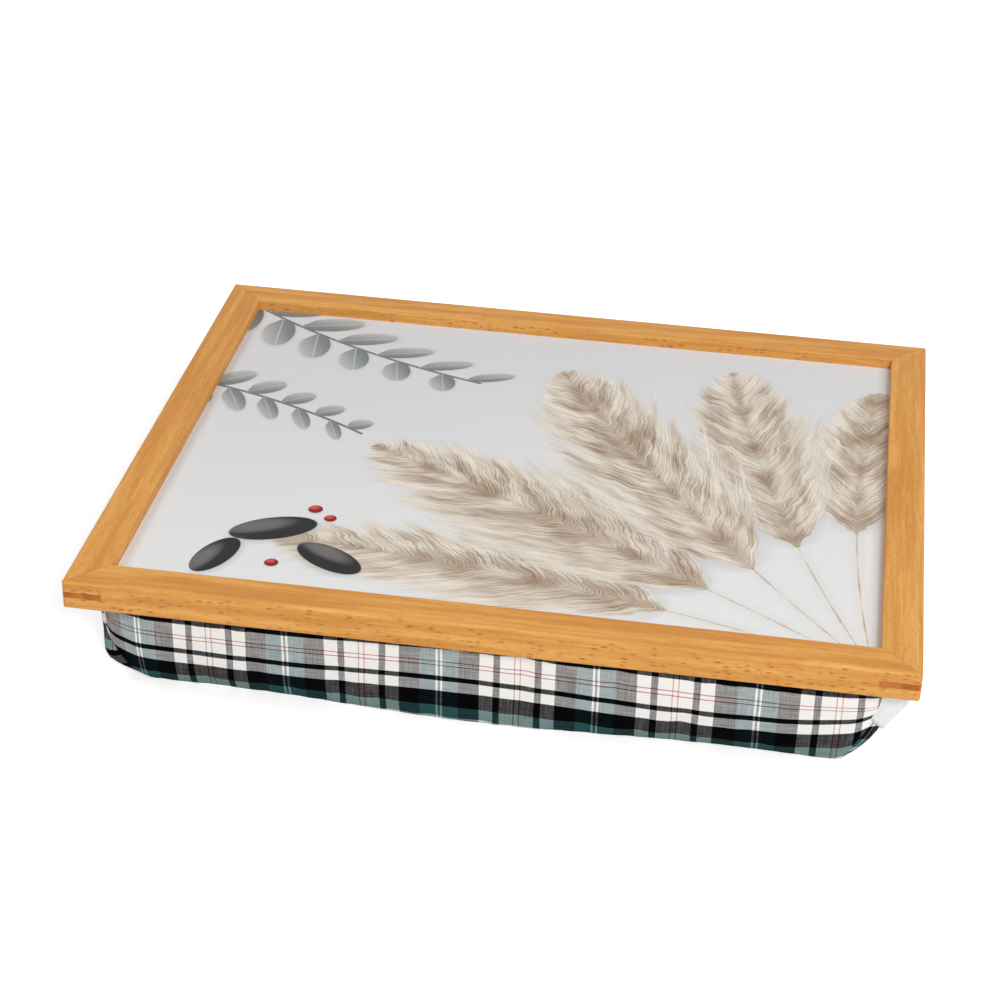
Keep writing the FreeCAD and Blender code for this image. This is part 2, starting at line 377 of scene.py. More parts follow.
def wall_level(end, share):
    """The wall's outline at a share of the way down, on the half towards one end."""
    if share < WIDEST_SHARE:
        up = 1 - share / WIDEST_SHARE
        height, flare, tucked = WIDEST + (CUSHION_TOP - WIDEST) * up, TOP_FLARE * up, 0.0
    else:
        turn = (share - WIDEST_SHARE) / (1 - WIDEST_SHARE) * math.pi / 2
        height, flare, tucked = WIDEST * (1 - math.sin(turn)), 0.0, 1 - math.cos(turn)
    shape = ENDS[end]
    slope = max(1 - height / shape.tuck_height, 0) ** shape.tuck_power
    half_long = shape.half_long + flare / 2 - shape.tuck * slope
    half_deep = HALF_DEEP + flare - SIDE_TUCK * tucked
    corner = BASE_CORNER + (TOP_CORNER - BASE_CORNER) * eased(height, 0, CORNER_LEVEL)
    seam = shape.seam_base + shape.seam_lean * (height / SEAM_LEVEL) ** shape.seam_power
    corner_middle = half_long - corner + corner * math.pi / 4
    return Level(height, tucked, half_long, half_deep, corner, min(seam, corner_middle))


def gusset_half(level):
    """Half the run of cloth round an end, from its middle to the corner seam."""
    quarter = level.half_long + level.half_deep - (2 - math.pi / 2) * level.corner
    return quarter - level.seam


def along_side(run, half_run, half_out, corner, bow):
    """How far along and how far out a point is, at a run of cloth from the middle of a bowed side."""
    straight = half_run - corner
    past = abs(run) - straight
    if past <= 0:
        return run, half_out + bow * (1 - (run / straight) ** 2)
    angle = min(past / corner, math.pi / 2)
    beyond = max(past - corner * math.pi / 2, 0)
    along = straight + corner * math.sin(angle)
    return math.copysign(along, run), half_out - corner * (1 - math.cos(angle)) - beyond


print("heights of the rows:", [round(wall_level(1, row / ROWS).height) for row in range(ROWS + 1)])

# %% Points of the cushion
SWAY_LENGTH = 250.0
SWAY_MIDDLE = -8.0
BASE_SWAY = 2.2
BASE_SLANT = 0.008
AT_END = 0.999


def sway(run):
    """The slow wave of the bead filling along a side."""
    return math.cos(2 * math.pi * (run - SWAY_MIDDLE) / SWAY_LENGTH)


def wall_point(a, b, share):
    """A point of the wall: a along the length and b along the depth, from -1 to 1, and one at its end."""
    level = wall_level(-1 if a < 0 else 1, share)
    if abs(b) > AT_END:
        x, out = along_side(a * level.seam, level.half_long, level.half_deep, level.corner, SIDE_BOW)
        y = math.copysign(out, b)
    else:
        run = b * gusset_half(level)
        y, out = along_side(run, level.half_deep, level.half_long, level.corner, END_BOW)
        x = math.copysign(out, a)
    run = x if y < 0 else -x
    swell = BASE_SWAY * sway(run) + BASE_SLANT * run
    return Vector((x, y * (1 + level.tucked * swell / level.half_deep), level.height))


def cushion_point(a, b, c):
    """Where a point of the block goes: a wall, or the top or base as a smaller copy of its edge."""
    ring = max(abs(a), abs(b))
    if ring == 0:
        return Vector((0, 0, CUSHION_TOP * (c > 0)))
    edge = wall_point(a / ring, b / ring, (1 - c) / 2)
    return Vector((edge.x * ring, edge.y * ring, edge.z))


print("left front foot at", [round(value) for value in cushion_point(-1, -1, -1)])

# %% [markdown]
# ## Cutting the cloth
# A cube is divided into squares of about 5 mm and every corner is moved to its place on the cushion.
# The tartan has to follow the threads, so each panel also gets its place on the flat cloth, in a UV map:
# first the distance across the warp, then the distance along it. Near the ends the weft climbs to the seams,
# and at the left end the base's cloth comes up the foot.

# %% The block
FOOT_LEVEL = 16.0


def cut_block(steps):
    """A cube from -1 to 1 cut into a grid."""
    form = bmesh.new()
    bmesh.ops.create_cube(form, size=2.0)
    for axis, count in enumerate(steps):
        edges = [e for e in form.edges if abs(e.verts[0].co[axis] - e.verts[1].co[axis]) > 1]
        bmesh.ops.subdivide_edges(form, edges=edges, cuts=count - 1, use_grid_fill=True)
    form.verts.index_update()
    return form


def panel_of(face, block):
    """The panel that a square of the block belongs to."""
    middle = sum((block[vert.index] for vert in face.verts), Vector()) / len(face.verts)
    if abs(middle.z) > AT_END:
        return "top" if middle.z > 0 else "base"
    if abs(middle.y) > AT_END:
        return "front" if middle.y < 0 else "back"
    if middle.x < 0 and wall_level(-1, (1 - middle.z) / 2).height < FOOT_LEVEL:
        return "foot"
    return "end"


print("squares along, across and up:", *BLOCK_STEPS)

# %% How the weft lies
Climb = namedtuple("Climb", "start slow corner fast")
WEFT_LIFT = 1.9
WEFT_SLANT = -0.0075
WEFT_SWAY = 1.75
LEFT_CLIMB = Climb(140.0, -0.0007, 186.0, 0.027)
RIGHT_CLIMB = Climb(147.0, 0.0018, 190.0, 0.025)
UPPER_LIFT = 0.2
UPPER_BULGE = 1.9
BULGE_MIDDLE = 102.0
BULGE_REACH = 48.0
LEFT_SAG = 1.4
RIGHT_SAG = 1.2
SAG_START = 138.0
SAG_END = 163.0


def corner_climb(run):
    """How far the weft rises towards the corner seams."""
    climb = LEFT_CLIMB if run < 0 else RIGHT_CLIMB
    slow_rise = climb.slow * max(abs(run) - climb.start, 0) ** 2
    return slow_rise + climb.fast * max(abs(run) - climb.corner, 0) ** 2


def weft_climb(run):
    """How far the weft has risen, at a run from the middle of the front."""
    return WEFT_LIFT + WEFT_SLANT * run + WEFT_SWAY * sway(run) + corner_climb(run)


def upper_shift(run):
    """How much higher the weft lies just under the frame: it bulges on the right and sags at both ends."""
    bulge = UPPER_BULGE * math.exp(-((run - BULGE_MIDDLE) / BULGE_REACH) ** 2)
    if run < 0:
        return UPPER_LIFT + bulge - LEFT_SAG * eased(-run, SAG_START, SAG_END)
    return UPPER_LIFT + bulge - RIGHT_SAG * eased(run, SAG_START, SAG_END) - corner_climb(run)


for word, end in (("left", -1), ("right", 1)):
    rise = corner_climb(end * wall_level(end, 0).seam)
    print(f"weft rises {rise:.1f} mm to the {word} seam")

# %% How the warp lies, and how much cloth each wall takes
LEFT_PULL_START = 147.0
LEFT_PULL = 0.0014
PULL_AT_TOP = 0.6
PULL_ADDED = 1.4
RIGHT_SLIP_START = 108.0
RIGHT_SLIP_END = 140.0
RIGHT_SLIP = 1.4


def warp_pull(run, share):
    """How far the warp has slipped: most at the foot of the left end, and evenly near the right one."""
    left = LEFT_PULL * max(-run - LEFT_PULL_START, 0) ** 2 * (PULL_AT_TOP + PULL_ADDED * share)
    return left + RIGHT_SLIP * eased(run, RIGHT_SLIP_START, RIGHT_SLIP_END)


def edge_waves(run):
    """How far the waves of the base's front and back edges bring the two apart."""
    return BASE_SWAY * (sway(run) + sway(-run))


def wall_drops(a, b):
    """The cloth used from the top edge down to each row of one column."""
    points = [wall_point(a, b, row / ROWS) for row in range(ROWS + 1)]
    drops = [0.0]
    for upper, lower in zip(points, points[1:]):
        drops.append(drops[-1] + (lower - upper).length)
    return drops


front_drops = wall_drops(0, -1)
end_drops = {end: wall_drops(end, 0) for end in ENDS}
print(f"the front takes {front_drops[-1]:.1f} mm of cloth from top to base")

# %% Places on the flat cloth
CALMED = 0.85
# Weft line of the black stripe that is held from the front's top edge down: painted shadow under the frame.
SHADOW_STRIPE_LINE = 10.9
UPPER_LINE = 12.0
MIDDLE_LINE = 27.0
FOOT_PULL = 11.0


def cloth_place(panel, a, b, c):
    """The place of a point on the flat cloth of its panel. On the front, the black stripe near the top runs
    on up to the edge: a woven stripe, stretched as painted shadow under the frame.
    """
    share = (1 - c) / 2
    row = round(share * ROWS)
    end = -1 if a < 0 else 1
    level = wall_level(end, share)
    point = cushion_point(a, b, c)
    if panel == "top":
        return point.x, point.y
    if panel == "end":
        shape = ENDS[end]
        return b * gusset_half(level) + shape.gusset_shift, end_drops[end][row] + shape.gusset_drop
    if panel == "foot":
        across, along = cloth_place("base", a, b, -1)
        return across + end * (end_drops[end][-1] - end_drops[end][row]), along + FOOT_PULL
    run = a * level.seam if panel in ("front", "back") else point.x
    climb = weft_climb(run)
    across = run - warp_pull(run, share)
    if panel == "front":
        upper = 1 - eased(front_drops[row], UPPER_LINE, MIDDLE_LINE)
        along = front_drops[row] + climb + upper * upper_shift(run)
        # Above the black stripe the cloth keeps the stripe's colour: a woven stripe, stretched up as painted
        # shadow under the frame.
        return across, max(along, SHADOW_STRIPE_LINE)
    edge = min(max(point.x / wall_level(end, 1).seam, -1), 1)
    front_edge = wall_point(edge, -1, 1).y
    back_edge = wall_point(edge, 1, 1).y
    cloth_depth = back_edge - front_edge - edge_waves(point.x)
    if panel == "base":
        way_back = (point.y - front_edge) / (back_edge - front_edge)
        return across, front_drops[-1] + climb * (1 - CALMED * way_back) + cloth_depth * way_back
    return across, 2 * front_drops[-1] - front_drops[row] + climb * (1 - CALMED) + cloth_depth


print("foot of the front on the cloth:", [round(part, 1) for part in cloth_place("front", 0, -1, -1)])


# %% Shape and mark the block
def piece_from(form, name):
    """A finished bmesh as an object of the scene."""
    mesh = bpy.data.meshes.new(name)
    form.to_mesh(mesh)
    form.free()
    piece = bpy.data.objects.new(name, mesh)
    scene.collection.objects.link(piece)
    return piece


def whole_cushion():
    """The whole cushion as one closed piece, and the place of every corner in the block."""
    form = cut_block(BLOCK_STEPS)
    block = [vert.co.copy() for vert in form.verts]
    threads = form.loops.layers.uv.new("threads")
    top_mark = form.faces.layers.int.new("top_panel")
    for face in form.faces:
        panel = panel_of(face, block)
        face[top_mark] = panel == "top"
        face.smooth = True
        for loop in face.loops:
            loop[threads].uv = Vector(cloth_place(panel, *block[loop.vert.index])) * MM
    for vert, place in zip(form.verts, block):
        vert.co = cushion_point(*place) * MM
    return piece_from(form, "cushion_cloth"), block


cushion, block_places = whole_cushion()
print("cushion squares:", len(cushion.data.polygons))


# %% [markdown]
# ## Filling the cushion
# Pressure inside the cloth rounds the panels between the seams, as the beads do.
# Blender's cloth does this well, and it keeps the squares' sizes, so the tartan doesn't stretch.
# The top, the seams and the part that lies on the table are pinned, and no point may travel far.
# The seams are then drawn in, as a line of stitching draws them.

# %% Simulate the filling
PRESSURE = 4.0
STIFFNESS = 20.0
SPARE_CLOTH = 0.012
FRAMES = 20
TRAVEL_LIMIT = 1.6
NO_TRAVEL = 1e-9


def sewn(place):
    """Whether a point of the block lies on a corner seam."""
    return abs(place.x) > AT_END and abs(place.y) > AT_END


def held(place):
    """Whether a point of the block is sewn or weighed down."""
    return sewn(place) or abs(place.z) > AT_END


def fill(piece, places):
    """Blows the cloth up, cuts long travels short, and gives the longest travel before the cut."""
    pins = piece.vertex_groups.new(name="sewn")
    pins.add([index for index, place in enumerate(places) if held(place)], 1.0, "REPLACE")
    cloth = piece.modifiers.new("filling", "CLOTH")
    cloth.settings.vertex_group_mass = pins.name
    cloth.settings.use_pressure = True
    cloth.settings.uniform_pressure_force = PRESSURE
    cloth.settings.effector_weights.gravity = 0.0
    cloth.settings.tension_stiffness = STIFFNESS
    cloth.settings.compression_stiffness = STIFFNESS
    cloth.settings.shrink_min = -SPARE_CLOTH
    for moment in range(1, FRAMES + 1):
        scene.frame_set(moment)
    swollen = piece.evaluated_get(bpy.context.evaluated_depsgraph_get()).data
    ends = [vertex.co.copy() for vertex in swollen.vertices]
    piece.modifiers.remove(cloth)
    piece.vertex_groups.remove(pins)
    farthest = 0.0
    for vertex, end in zip(piece.data.vertices, ends):
        travel = end - vertex.co
        farthest = max(farthest, travel.length)
        vertex.co += travel * min(1.0, TRAVEL_LIMIT * MM / max(travel.length, NO_TRAVEL))
        vertex.co.z = max(vertex.co.z, 0.0)
    scene.frame_set(1)
    return farthest / MM


pushed = fill(cushion, block_places)
print(f"filling pushed the cloth by up to {pushed:.1f} mm, cut to {TRAVEL_LIMIT} mm")

# %% Draw in the seams
SEAM_DEPTH = 1.0


def draw_in_seams(piece, places):
    """Pulls the sewn corners inwards, against the cloth's own normal."""
    normals = [normal.vector.copy() for normal in piece.data.vertex_normals]
    for vertex, place, normal in zip(piece.data.vertices, places, normals):
        if sewn(place) and abs(place.z) < AT_END:
            vertex.co -= normal * SEAM_DEPTH * MM
            vertex.co.z = max(vertex.co.z, 0.0)


draw_in_seams(cushion, block_places)
print(f"seams drawn in by {SEAM_DEPTH} mm")

# %% Part the cover from the top panel
CLOTH_THICKNESS = 1.0


def part_of_cushion(name, top):
    """The faces of the top panel, or all the others, as a piece with the cloth's thickness."""
    form = bmesh.new()
    form.from_mesh(cushion.data)
    top_mark = form.faces.layers.int["top_panel"]
    unwanted = [face for face in form.faces if bool(face[top_mark]) != top]
    bmesh.ops.delete(form, geom=unwanted, context="FACES")
    piece = piece_from(form, name)
    wall = piece.modifiers.new("cloth_thickness", "SOLIDIFY")
    wall.thickness = CLOTH_THICKNESS * MM
    wall.offset = -1.0
    round_off = piece.modifiers.new("round_off", "SUBSURF")
    round_off.levels = round_off.render_levels = 1
    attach(piece, "cushion")
    return piece


cover = part_of_cushion("tartan_cover", False)
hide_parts("cushion_cover", "bead_filling")
top_panel = part_of_cushion("cushion_lid", True)
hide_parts("cushion_top_panel")
bpy.data.objects.remove(cushion)
print("cover and lid:", len(cover.data.polygons), len(top_panel.data.polygons))

# %% [markdown]
# ## Tartan
# A tartan is one list of stripes, mirrored about its two pivots and woven with itself.
# A picture of cloth would bring its own light and creases, so both directions read that list from a ramp.
# Where two colours cross, the eye mixes them as a screen does, and threads shade each other a little,
# so the mix is made before a strong gamma turns it to light.
# The weft covers more of the face than the warp, and uneven yarn makes the greys streaky.

# %% Tartan finish
WOVEN_WHITE = (0.975, 0.97, 0.962)
WOVEN_BLACK = (0.045, 0.045, 0.055)
WARP_GREEN = (0.19, 0.335, 0.36)
WEFT_GREEN = (0.33, 0.47, 0.47)
WOVEN_RED = (0.72, 0.41, 0.37)
SETT = 81.7
HALF_SETT = SETT / 2
LINE_START = 0.58
LINE_END = 1.75
STRIPES = (
    (10.1, WOVEN_BLACK), (21.0, WOVEN_WHITE), (28.15, WOVEN_BLACK), (31.65, WOVEN_WHITE),
    (39.05, WOVEN_RED), (39.7, WOVEN_WHITE),
)
WARP_PIVOT = -24.1
WEFT_PIVOT = 56.45
WEFT_CROWDING = 0.88
WEFT_SHARE = 0.65
THREAD = 0.4
CROSSING_GAMMA = 2.86


def striped(finish, place, green):
    """The colour of a thread: green with two white lines at the pivot, then the other stripes."""
    from_pivot = abs((place + HALF_SETT) % SETT - HALF_SETT)
    stripes = ((0.0, green), (LINE_START, WOVEN_WHITE), (LINE_END, green), *STRIPES)
    return finish.bands(from_pivot / HALF_SETT, [(start / HALF_SETT, colour) for start, colour in stripes])


def tartan():
    """The cover's cloth: warp and weft stripes, mixed where they cross, in uneven yarn."""
    finish = Finish("tartan_cloth")
    across, along = finish.threads()
    wander = finish.noise(finish.vector(across * 0.05, along * 0.05, 3.0)) - 0.5
    warp = striped(finish, across + wander * 0.8 - WARP_PIVOT, WARP_GREEN)
    weft = striped(finish, (along + wander * 0.8 - WEFT_PIVOT) / WEFT_CROWDING, WEFT_GREEN)
    weave = finish.checks(across, along, THREAD)
    weft_slub = finish.noise(finish.vector(across * 0.06, along * 1.5, 0.0), 3, 0.6) - 0.5
    warp_slub = finish.noise(finish.vector(across * 1.5, along * 0.06, 9.0), 3, 0.6) - 0.5
    share = WEFT_SHARE + weave * 0.14 + weft_slub * 0.4 + warp_slub * 0.4
    face = finish.mix(share, warp, weft)
    light = finish.node("ShaderNodeGamma", None, {"Color": face, "Gamma": CROSSING_GAMMA})
    return finish.shade({
        "Base Color": light,
        "Roughness": 0.86 + weft_slub * 0.1,
        "Normal": finish.bump(weave * 0.05 + (weft_slub + warp_slub) * 0.12, 1.0, 0.5),
        "Specular IOR Level": 0.035,
    })


wear(cover, tartan())
print("tartan finished")


# %% [markdown]
# ## Calico lid
# The lid that closes the bag under the tray is plain undyed cotton. It shows when the tray is lifted off.
# Its threads are too fine to model, so crossed sines weave them and drawn-out noise gives the thick ones.

# %% Calico finish
CALICO_THREAD = 0.6


def calico():
    """Undyed cotton with thick threads and a few brown flecks."""
    finish = Finish("plain_cloth")
    across, along = finish.threads()
    weave = finish.checks(across, along, CALICO_THREAD)
    slubs = finish.noise(finish.vector(across * 0.08, along * 1.2, 0.0), 3, 0.6)
    slubs = slubs + finish.noise(finish.vector(across * 1.2, along * 0.08, 5.0), 3, 0.6)
    flecks = finish.step(finish.noise(finish.vector(across * 0.7, along * 0.7, 2.0), 1, 0.5), 0.74, 0.8)
    colour = finish.mix(finish.step(slubs, 0.8, 1.2), srgb(216, 205, 184), srgb(233, 225, 208))
    colour = finish.mix(flecks * 0.6, colour, srgb(150, 124, 88))
    return finish.shade({
        "Base Color": colour,
        "Roughness": 0.85 + slubs * 0.05,
        "Normal": finish.bump(weave * 0.06 + slubs * 0.1, 1.0, 0.5),
        "Specular IOR Level": 0.25,
    })


wear(top_panel, calico())
print("calico finished")


# %% [markdown]
# ## Hook and loop tapes
# The tray is held on the cushion by hook and loop tape: hooks stuck under the board, loops sewn to the lid.
# Each hook is far too small to model, so the finish raises rows of bumps for the hooks and a tangle
# for the loops, and leaves the woven edge of the tape flat.
# The stitches that hold the loop tapes can be seen, so they are modelled.

# %% Tape finishes
TAPE_EDGE = 1.6
HOOK_PITCH = 1.5


def tape_edge(finish, place, box):
    """1 on the bare woven edge of a tape, 0 on its pile."""
    low, high = [corner / MM for corner in box]
    inset = [finish.least(place[axis] - low[axis], high[axis] - place[axis]) for axis in (0, 1)]
    return 1 - finish.step(finish.least(inset[0], inset[1]), TAPE_EDGE * 0.8, TAPE_EDGE)


def hook_tape(name):
    """Black tape with rows of hooks and a little dust."""
    finish = Finish(f"{name}_finish")
    place = finish.position()
    edge = tape_edge(finish, place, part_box(name))
    knobs = finish.checks(place[0], place[1], HOOK_PITCH / 2)
    hooks = finish.step(knobs, 0.1, 0.7) * (1 - edge)
    dust = finish.noise(finish.vector(place[0] * 0.4, place[1] * 0.4, place[2]), 3, 0.6)
    colour = finish.mix(hooks * 0.8, srgb(20, 20, 22), srgb(58, 58, 62))
    colour = finish.mix(finish.step(dust, 0.55, 0.8) * 0.3, colour, srgb(96, 94, 92))
    return finish.shade({
        "Base Color": colour,
        "Roughness": 0.6 - hooks * 0.25,
        "Normal": finish.bump(hooks * 0.5, 1.0, 0.7),
    })


def loop_tape(name):
    """Black tape with a tangled pile of loops."""
    finish = Finish(f"{name}_finish")
    place = finish.position()
    edge = tape_edge(finish, place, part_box(name))
    curls = finish.cells(finish.vector(place[0] * 1.1, place[1] * 1.1, place[2] * 1.1))
    tangle = finish.noise(finish.vector(place[0] * 1.8, place[1] * 1.8, place[2] * 1.8), 4, 0.7)
    pile = (curls * 0.6 + tangle * 0.7) * (1 - edge)
    colour = finish.mix(finish.step(pile, 0.35, 0.95), srgb(16, 16, 18), srgb(70, 70, 74))
    return finish.shade({
        "Base Color": colour,
        "Roughness": 0.82 + tangle * 0.12,
        "Normal": finish.bump(pile * 0.6, 1.0, 0.8),
        "Sheen Weight": 0.2,
    })


SIDES = ("front", "back", "left", "right")
for side in SIDES:
    wear(nodes[f"{side}_hook_tape"], hook_tape(f"{side}_hook_tape"))
    wear(nodes[f"{side}_loop_tape"], loop_tape(f"{side}_loop_tape"))
print("tapes finished")

# %% Stitches of the loop tapes
STITCH_LENGTH = 2.6
STITCH_STEP = 3.6
STITCH_WIDE = 0.5
STITCH_HIGH = 0.36
STITCH_INSET = 0.9


def add_stitch(form, middle, along_x):
    """One stitch: a small ball drawn out along the line, half sunk in the tape."""
    size = (STITCH_LENGTH, STITCH_WIDE) if along_x else (STITCH_WIDE, STITCH_LENGTH)
    shape = Matrix.Diagonal((size[0], size[1], STITCH_HIGH, 1.0)) * (MM / 2)
    shape[3][3] = 1.0
    bmesh.ops.create_icosphere(form, subdivisions=1, radius=1.0, matrix=Matrix.Translation(middle) @ shape)


def stitch_line(form, start, end):
    """Stitches at an even step between two points."""
    run = end - start
    count = round(run.length / MM / STITCH_STEP)
    for index in range(count):
        add_stitch(form, start + run * ((index + 0.5) / count), abs(run.x) > abs(run.y))


def tape_stitches():
    """The line of stitches round every loop tape."""
    form = bmesh.new()
    for side in SIDES:
        low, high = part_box(f"{side}_loop_tape")
        inset = STITCH_INSET * MM
        xs = (low.x + inset, high.x - inset)
        ys = (low.y + inset, high.y - inset)
        corners = [Vector((xs[i], ys[j], high.z)) for i, j in ((0, 0), (1, 0), (1, 1), (0, 1))]
        for start, end in zip(corners, corners[1:] + corners[:1]):
            stitch_line(form, start, end)
    for face in form.faces:
        face.smooth = True
    piece = piece_from(form, "tape_stitches")
    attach(piece, "cushion")
    return piece


stitches = tape_stitches()
print("stitch faces:", len(stitches.data.polygons))

# %% Thread finish
TWIST_PITCH = 0.5


def sewing_thread():
    """Black thread with a fine twist."""
    finish = Finish("sewing_thread")
    x, y, _ = finish.position()
    twist = finish.sine((x + y) * (2 * math.pi / TWIST_PITCH))
    colour = finish.mix(twist * 0.5 + 0.5, srgb(24, 24, 26), srgb(64, 64, 68))
    return finish.shade({"Base Color": colour, "Roughness": 0.55 + twist * 0.1})


wear(stitches, sewing_thread())
print("thread finished")

# %% [markdown]
# ## Seam label
# A short white ribbon is folded double and caught in the right front seam, where it hangs at a tilt.
# A flat grid is folded over its middle and then carried to the seam,
# which keeps the ribbon's own width and length. It is left blank.

# %% Fold the ribbon
RIBBON_WIDE = 22.0
RIBBON_FOLDED = 18.0
RIBBON_TILT = math.radians(35)
RIBBON_THICK = 0.25
RIBBON_CURL = 1.1
CURL_TURN = 2.4
RIBBON_SQUARES = (9, 40)
FOLD_RADIUS = 0.55
FOLD_FOOT = Vector((204.5, -162.6, 23.0))
ribbon_cut = 2 * (RIBBON_FOLDED - FOLD_RADIUS) + math.pi * FOLD_RADIUS


def folded(cut):
    """A point of the flat ribbon, folded: how far it is from the cut ends, and how far off the plane."""
    arc = FOLD_RADIUS * math.pi / 2
    if abs(cut) <= arc:
        angle = cut / FOLD_RADIUS
        return RIBBON_FOLDED - FOLD_RADIUS + FOLD_RADIUS * math.cos(angle), FOLD_RADIUS * math.sin(angle)
    out = RIBBON_FOLDED - FOLD_RADIUS - (abs(cut) - arc)
    return out, math.copysign(FOLD_RADIUS * eased(out, 0, RIBBON_FOLDED), cut)


def seam_ribbon():
    """The folded ribbon, hung by its cut ends in the seam."""
    up_fold = Vector((math.sin(RIBBON_TILT), 0, math.cos(RIBBON_TILT)))
    outward = Vector((math.cos(RIBBON_TILT), 0, -math.sin(RIBBON_TILT)))
    backward = Vector((0, 1, 0))
    form = bmesh.new()
    bmesh.ops.create_grid(form, x_segments=RIBBON_SQUARES[0], y_segments=RIBBON_SQUARES[1], size=0.5)
    for vert in form.verts:
        along, cut = (vert.co.x + 0.5) * RIBBON_WIDE, vert.co.y * ribbon_cut
        out, thick = folded(cut)
        curl = RIBBON_CURL * (out / RIBBON_FOLDED) ** 2 * math.sin(vert.co.x * CURL_TURN)
        place = FOLD_FOOT + up_fold * along + outward * (out - RIBBON_FOLDED) + backward * (thick + curl)
        vert.co = place * MM
    for face in form.faces:
        face.smooth = True
    piece = piece_from(form, "seam_ribbon")
    wall = piece.modifiers.new("ribbon_thickness", "SOLIDIFY")
    wall.thickness = RIBBON_THICK * MM
    wall.offset = 0.0
    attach(piece, "cushion")
    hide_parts("seam_label")
    return piece


label = seam_ribbon()
print(f"ribbon {RIBBON_WIDE:.0f} by {ribbon_cut:.1f} mm, folded")

# %% Ribbon finish
RIB_PITCH = 0.7


def ribbon():
    """White ribbon with fine ribs."""
    finish = Finish("label_ribbon")
    x, y, z = finish.position()
    ribs = finish.sine((x * 0.3 + z) * (2 * math.pi / RIB_PITCH))
    cloud = finish.noise(finish.vector(x * 0.5, y * 0.5, z * 0.5))
    colour = finish.mix(finish.step(cloud, 0.3, 0.7), srgb(228, 230, 231), srgb(240, 241, 242))
    return finish.shade({
        "Base Color": finish.mix(ribs * 0.1 + 0.1, colour, srgb(216, 218, 221)),
        "Roughness": 0.5 + ribs * 0.08,
        "Normal": finish.bump(ribs * 0.05, 1.0, 0.6),
        "Sheen Weight": 0.15,
    })


wear(label, ribbon())
print("ribbon finished")

# %% [markdown]
# ## Printed laminate
# The board's face is a satin laminate with a printed flat-lay: dried grass plumes, grey leaves,
# dark seed pods and red berries on a pale ground. It could be drawn as geometry, but a print has no height,
# so every motif is a formula of the board's own coordinates: how far along its stem a place is,
# and how far off it.

# %% Grass plumes
Plume = namedtuple("Plume", "angle stem length width bend seed")
BUNCH_ROOT = (196.0, -172.0)
PLUMES = (
    Plume(159.0, 112.0, 212.0, 31.0, 0.0005, 1.0),
    Plume(99.0, 130.0, 165.0, 27.0, -0.0005, 13.0),
    Plume(145.0, 105.0, 232.0, 37.0, 0.0002, 7.0),
    Plume(114.0, 118.0, 200.0, 33.0, -0.0004, 25.0),
    Plume(130.0, 105.0, 240.0, 38.0, -0.0003, 19.0),
)
STRAND_SLOPE = 1.05
STRAND_DROOP = 0.012
TIP_BLUR = 12.0


def stem_place(x, y, root, angle, bend):
    """A place as the run along a bent stem, the distance off it and the side of it."""
    turn = math.radians(angle)
    right, up = x - root[0], y - root[1]
    along = right * math.cos(turn) + up * math.sin(turn)
    across = up * math.cos(turn) - right * math.sin(turn) - along * along * bend
    return along, abs(across), across > 0


def plume(finish, x, y, root, shape):
    """A feathery grass head: how well it covers, how pale its strands are, and its soft shadow."""
    along, off, side = stem_place(x, y, root, shape.angle, shape.bend)
    ruffle = finish.noise(finish.vector(along * 0.06, off * 0.06, shape.seed)) * 16 - 8
    leaves_stem = along - shape.stem - off * STRAND_SLOPE - off * off * STRAND_DROOP + ruffle
    tip = shape.stem + shape.length
    share = finish.least(finish.most((along - shape.stem) / shape.length, 0.0), 1.0)
    tuft = finish.noise(finish.vector(leaves_stem * 0.08, off * 0.015, side * 4 + shape.seed), 3, 0.6)
    reach = finish.sine(share * math.pi) ** 0.5 * (shape.width * (0.3 + tuft * 1.5))
    strand_place = finish.vector(leaves_stem * 0.8, off * 0.03, side * 4 + shape.seed + 20)
    strand = finish.noise(strand_place, 4, 0.65)
    thinning = off / finish.most(reach, 0.5)
    on_head = (leaves_stem > 0.0) * (along < tip)
    cover = finish.step(strand + 0.5 - thinning * 0.6, 0.22, 0.5) * on_head * (thinning < 1.2)
    stalk = (off < 1.0) * (along > 0.0) * (leaves_stem < shape.length * 0.7)
    clump = finish.noise(finish.vector(leaves_stem * 0.05, off * 0.07, shape.seed + 40))
    tone = finish.step(strand * 0.9 + clump * 0.6 + thinning * 0.16, 0.56, 1.06)
    before_tip = finish.step(along, tip + TIP_BLUR, tip - TIP_BLUR)
    shade = finish.step(reach * 1.1 - off, -9.0, 12.0) * before_tip * 0.3
    return finish.most(cover, stalk * 0.8), tone, shade


print("plumes:", len(PLUMES))

# %% Leafy sprigs
Sprig = namedtuple("Sprig", "root angle length bend pitch leaf_long leaf_wide")
SPRIGS = (
    Sprig((-205.0, 168.0), -38.0, 175.0, 0.0012, 30.0, 40.0, 19.0),
    Sprig((-215.0, 60.0), -12.0, 120.0, -0.0015, 24.0, 30.0, 14.0),
)
LEAF_SLANT = math.radians(50)


def sprig(finish, x, y, shape):
    """Leaves on both sides of a stem: how well they cover, how light they are, and their soft shadow."""
    along, off, side = stem_place(x, y, shape.root, shape.angle, shape.bend)
    local = (along + side * (shape.pitch / 2)) % shape.pitch
    size = 1.15 - (along / shape.length) * 0.5
    run = (local * math.cos(LEAF_SLANT) + off * math.sin(LEAF_SLANT)) / (size * shape.leaf_long)
    half_wide = size * (shape.leaf_wide / 2)
    cross = (off * math.cos(LEAF_SLANT) - local * math.sin(LEAF_SLANT)) / half_wide
    middle = run * 2 - 1
    inside = 1 - middle * middle - cross * cross
    leaf_root = along - local
    on_leaf = (leaf_root > -1.0) * (leaf_root < shape.length)
    cover = finish.step(inside, 0.0, 0.1) * on_leaf
    stalk = (off < 1.1) * (along > 0.0) * (along < shape.length)
    rib = 1 - finish.step(abs(cross), 0.02, 0.07)
    tone = finish.step(cross * 0.4 + middle * 0.25 + rib * 0.5, -0.5, 0.7)
    shade = finish.step(inside, -0.7, 0.4) * on_leaf * 0.28
    return finish.most(cover, stalk), tone, shade


print("sprigs:", len(SPRIGS))

